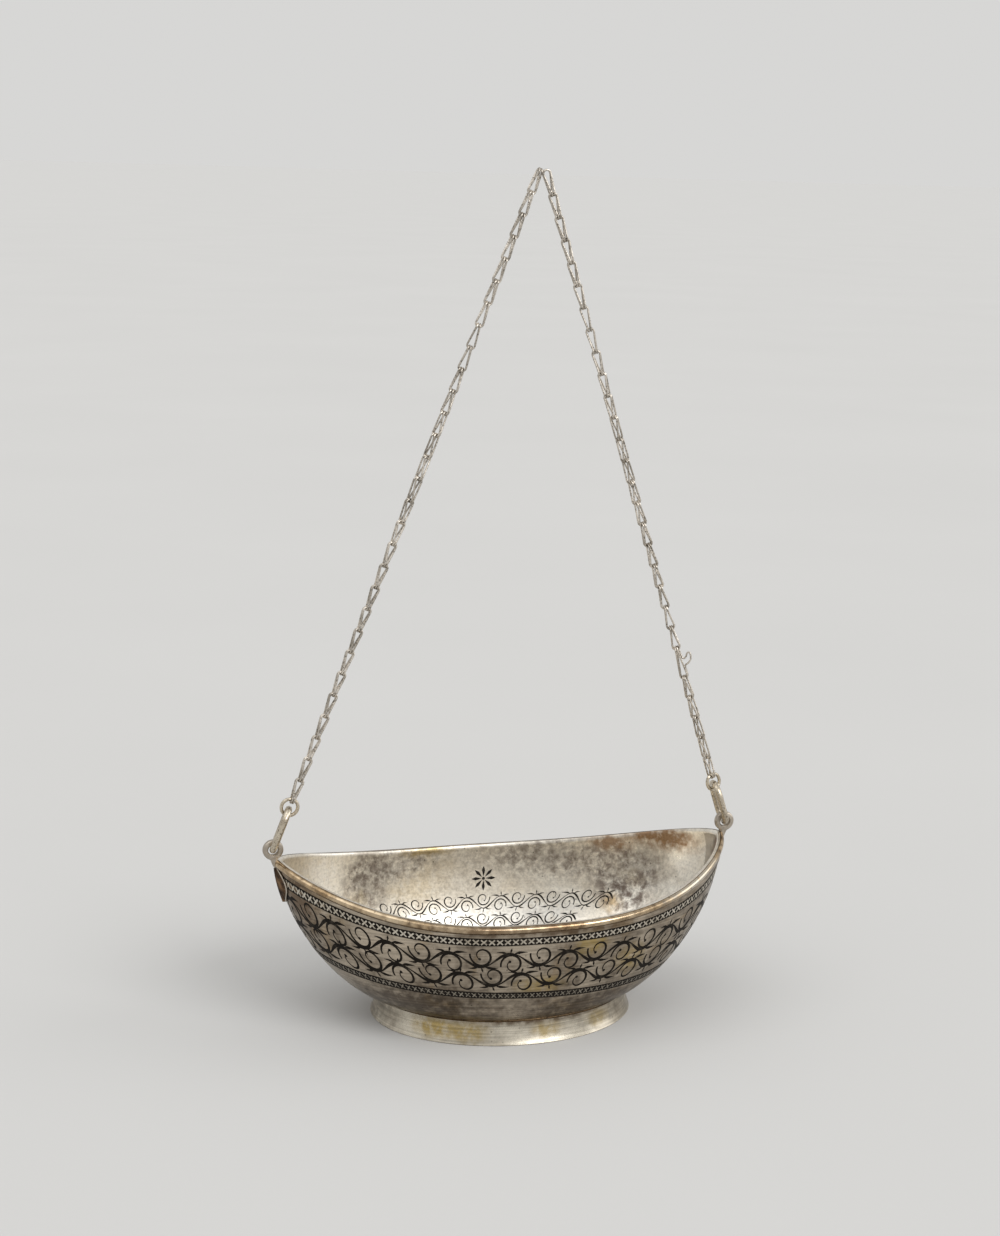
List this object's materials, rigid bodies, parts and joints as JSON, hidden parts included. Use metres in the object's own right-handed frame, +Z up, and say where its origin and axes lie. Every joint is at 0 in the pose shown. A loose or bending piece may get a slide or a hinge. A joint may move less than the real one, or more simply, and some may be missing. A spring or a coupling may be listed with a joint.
{
  "type": "begging bowl",
  "caption": "Boat-shaped metal begging bowl with raised pointed ends and a wired rim, on a flared oval foot, carried by a chain of folded wire links from an eye at each end.",
  "frame": {"origin": "on the floor under the middle of the bowl", "axes": "+Z up, +X from the left tip to the right tip, +Y from the front of the bowl to its back"},
  "size_m": [0.1754, 0.0946, 0.2977],
  "materials": {
    "bowl_metal": "worn satin silver",
    "rim_metal": "tarnished golden brown",
    "foot_metal": "worn satin silver",
    "eye_metal": "worn satin silver",
    "leaf_metal": "tarnished copper brown",
    "ring_metal": "dark silver wire",
    "chain_metal": "blackened silver wire"
  },
  "bodies": {
    "bowl": {"bowl": "bowl_metal", "rim_wire": "rim_metal", "foot_ring": "foot_metal", "left_eye": "eye_metal", "right_eye": "eye_metal", "left_leaf": "leaf_metal", "right_leaf": "leaf_metal"},
    "left_shackle": {"left_shackle": "ring_metal"},
    "left_jump_ring": {"left_jump_ring": "ring_metal"},
    "left_chain_01": {"left_chain_01": "chain_metal"},
    "left_chain_02": {"left_chain_02": "chain_metal"},
    "left_chain_03": {"left_chain_03": "chain_metal"},
    "left_chain_04": {"left_chain_04": "chain_metal"},
    "left_chain_05": {"left_chain_05": "chain_metal"},
    "left_chain_06": {"left_chain_06": "chain_metal"},
    "left_chain_07": {"left_chain_07": "chain_metal"},
    "left_chain_08": {"left_chain_08": "chain_metal"},
    "left_chain_09": {"left_chain_09": "chain_metal"},
    "left_chain_10": {"left_chain_10": "chain_metal"},
    "left_chain_11": {"left_chain_11": "chain_metal"},
    "left_chain_12": {"left_chain_12": "chain_metal"},
    "left_chain_13": {"left_chain_13": "chain_metal"},
    "left_chain_14": {"left_chain_14": "chain_metal"},
    "left_chain_15": {"left_chain_15": "chain_metal"},
    "right_shackle": {"right_shackle": "ring_metal"},
    "right_jump_ring": {"right_jump_ring": "ring_metal"},
    "right_chain_01": {"right_chain_01": "chain_metal"},
    "right_chain_02": {"right_chain_02": "chain_metal"},
    "right_chain_03": {"right_chain_03": "chain_metal", "mended_link": "chain_metal"},
    "right_chain_04": {"right_chain_04": "chain_metal"},
    "right_chain_05": {"right_chain_05": "chain_metal"},
    "right_chain_06": {"right_chain_06": "chain_metal"},
    "right_chain_07": {"right_chain_07": "chain_metal"},
    "right_chain_08": {"right_chain_08": "chain_metal"},
    "right_chain_09": {"right_chain_09": "chain_metal"},
    "right_chain_10": {"right_chain_10": "chain_metal"},
    "right_chain_11": {"right_chain_11": "chain_metal"},
    "right_chain_12": {"right_chain_12": "chain_metal"},
    "right_chain_13": {"right_chain_13": "chain_metal"},
    "right_chain_14": {"right_chain_14": "chain_metal"}
  },
  "joints": [
    {"name": "left_shackle_swing", "type": "hinge", "parent": "bowl", "child": "left_shackle", "pos_m": [-0.0841, 0, 0.0644], "axis": [0, -1, 0], "range_deg": [0, 50]},
    {"name": "left_jump_ring_swing", "type": "hinge", "parent": "left_shackle", "child": "left_jump_ring", "pos_m": [-0.0787, 0, 0.0785], "axis": [-0.2417, -0.9659, 0.0926], "range_deg": [0, 20]},
    {"name": "left_chain_01_swing", "type": "hinge", "parent": "left_jump_ring", "child": "left_chain_01", "pos_m": [-0.07737, 0, 0.08195], "axis": [0.9338, 0, -0.3579], "range_deg": [-16, 16]},
    {"name": "left_chain_02_swing", "type": "hinge", "parent": "left_chain_01", "child": "left_chain_02", "pos_m": [-0.0722, 0, 0.09545], "axis": [0, -1, 0], "range_deg": [0, 14]},
    {"name": "left_chain_03_swing", "type": "hinge", "parent": "left_chain_02", "child": "left_chain_03", "pos_m": [-0.06596, 0, 0.11172], "axis": [0.9338, 0, -0.3579], "range_deg": [-16, 16]},
    {"name": "left_chain_04_swing", "type": "hinge", "parent": "left_chain_03", "child": "left_chain_04", "pos_m": [-0.06082, 0, 0.12514], "axis": [0, -1, 0], "range_deg": [0, 14]},
    {"name": "left_chain_05_swing", "type": "hinge", "parent": "left_chain_04", "child": "left_chain_05", "pos_m": [-0.05458, 0, 0.14141], "axis": [-0.9338, 0, 0.3579], "range_deg": [-16, 16]},
    {"name": "left_chain_06_swing", "type": "hinge", "parent": "left_chain_05", "child": "left_chain_06", "pos_m": [-0.04944, 0, 0.15484], "axis": [0, -1, 0], "range_deg": [0, 14]},
    {"name": "left_chain_07_swing", "type": "hinge", "parent": "left_chain_06", "child": "left_chain_07", "pos_m": [-0.0432, 0, 0.17111], "axis": [-0.9258, -0.1305, 0.3548], "range_deg": [0, 14]},
    {"name": "left_chain_08_swing", "type": "hinge", "parent": "left_chain_07", "child": "left_chain_08", "pos_m": [-0.03806, 0, 0.18453], "axis": [0.2417, -0.9659, -0.0926], "range_deg": [0, 14]},
    {"name": "left_chain_09_swing", "type": "hinge", "parent": "left_chain_08", "child": "left_chain_09", "pos_m": [-0.03182, 0, 0.2008], "axis": [-0.7408, -0.6088, 0.2839], "range_deg": [0, 14]},
    {"name": "left_chain_10_swing", "type": "hinge", "parent": "left_chain_09", "child": "left_chain_10", "pos_m": [-0.02668, 0, 0.21422], "axis": [0.6603, -0.7071, -0.2531], "range_deg": [0, 14]},
    {"name": "left_chain_11_swing", "type": "hinge", "parent": "left_chain_10", "child": "left_chain_11", "pos_m": [-0.02044, 0, 0.23049], "axis": [-0.3573, -0.9239, 0.137], "range_deg": [0, 14]},
    {"name": "left_chain_12_swing", "type": "hinge", "parent": "left_chain_11", "child": "left_chain_12", "pos_m": [-0.0153, 0, 0.24392], "axis": [0.902, -0.2588, -0.3457], "range_deg": [0, 14]},
    {"name": "left_chain_13_swing", "type": "hinge", "parent": "left_chain_12", "child": "left_chain_13", "pos_m": [-0.00906, 0, 0.26019], "axis": [0, -1, 0], "range_deg": [0, 14]},
    {"name": "left_chain_14_swing", "type": "hinge", "parent": "left_chain_13", "child": "left_chain_14", "pos_m": [-0.00392, 0, 0.27361], "axis": [0.9338, 0, -0.3579], "range_deg": [-16, 16]},
    {"name": "left_chain_15_swing", "type": "hinge", "parent": "left_chain_14", "child": "left_chain_15", "pos_m": [0.00232, 0, 0.28988], "axis": [0, -1, 0], "range_deg": [0, 14]},
    {"name": "right_shackle_swing", "type": "hinge", "parent": "bowl", "child": "right_shackle", "pos_m": [0.0841, 0, 0.0644], "axis": [0, 1, 0], "range_deg": [0, 50]},
    {"name": "right_jump_ring_swing", "type": "hinge", "parent": "right_shackle", "child": "right_jump_ring", "pos_m": [0.07934, 0, 0.07873], "axis": [0.0992, 0.9945, 0.0329], "range_deg": [0, 20]},
    {"name": "right_chain_01_swing", "type": "hinge", "parent": "right_jump_ring", "child": "right_chain_01", "pos_m": [0.07818, 0, 0.08224], "axis": [0.8918, 0.342, 0.296], "range_deg": [0, 14]},
    {"name": "right_chain_02_swing", "type": "hinge", "parent": "right_chain_01", "child": "right_chain_02", "pos_m": [0.07315, 0, 0.0974], "axis": [0.7721, 0.5815, 0.2563], "range_deg": [0, 14]},
    {"name": "right_chain_03_swing", "type": "hinge", "parent": "right_chain_02", "child": "right_chain_03", "pos_m": [0.06862, 0, 0.11105], "axis": [-0.6513, 0.7274, -0.2162], "range_deg": [0, 14]},
    {"name": "right_chain_04_swing", "type": "hinge", "parent": "right_chain_03", "child": "right_chain_04", "pos_m": [0.06203, 0, 0.13091], "axis": [0.3759, 0.9182, 0.1248], "range_deg": [0, 14]},
    {"name": "right_chain_05_swing", "type": "hinge", "parent": "right_chain_04", "child": "right_chain_05", "pos_m": [0.0575, 0, 0.14455], "axis": [-0.9143, 0.2682, -0.3035], "range_deg": [0, 14]},
    {"name": "right_chain_06_swing", "type": "hinge", "parent": "right_chain_05", "child": "right_chain_06", "pos_m": [0.05201, 0, 0.16109], "axis": [0, 1, 0], "range_deg": [0, 14]},
    {"name": "right_chain_07_swing", "type": "hinge", "parent": "right_chain_06", "child": "right_chain_07", "pos_m": [0.04748, 0, 0.17473], "axis": [0.9491, 0, 0.315], "range_deg": [-16, 16]},
    {"name": "right_chain_08_swing", "type": "hinge", "parent": "right_chain_07", "child": "right_chain_08", "pos_m": [0.04199, 0, 0.19127], "axis": [-0.3632, 0.9239, -0.1206], "range_deg": [0, 14]},
    {"name": "right_chain_09_swing", "type": "hinge", "parent": "right_chain_08", "child": "right_chain_09", "pos_m": [0.03746, 0, 0.20491], "axis": [0.8219, 0.5, 0.2728], "range_deg": [0, 14]},
    {"name": "right_chain_10_swing", "type": "hinge", "parent": "right_chain_09", "child": "right_chain_10", "pos_m": [0.03197, 0, 0.22145], "axis": [-0.753, 0.6088, -0.2499], "range_deg": [0, 14]},
    {"name": "right_chain_11_swing", "type": "hinge", "parent": "right_chain_10", "child": "right_chain_11", "pos_m": [0.02744, 0, 0.23509], "axis": [0.4745, 0.866, 0.1575], "range_deg": [0, 14]},
    {"name": "right_chain_12_swing", "type": "hinge", "parent": "right_chain_11", "child": "right_chain_12", "pos_m": [0.02196, 0, 0.25163], "axis": [-0.941, 0.1305, -0.3123], "range_deg": [0, 14]},
    {"name": "right_chain_13_swing", "type": "hinge", "parent": "right_chain_12", "child": "right_chain_13", "pos_m": [0.01743, 0, 0.26527], "axis": [0, 1, 0], "range_deg": [0, 14]},
    {"name": "right_chain_14_swing", "type": "hinge", "parent": "right_chain_13", "child": "right_chain_14", "pos_m": [0.01194, 0, 0.28181], "axis": [0.9491, 0, 0.315], "range_deg": [-16, 16]}
  ]
}
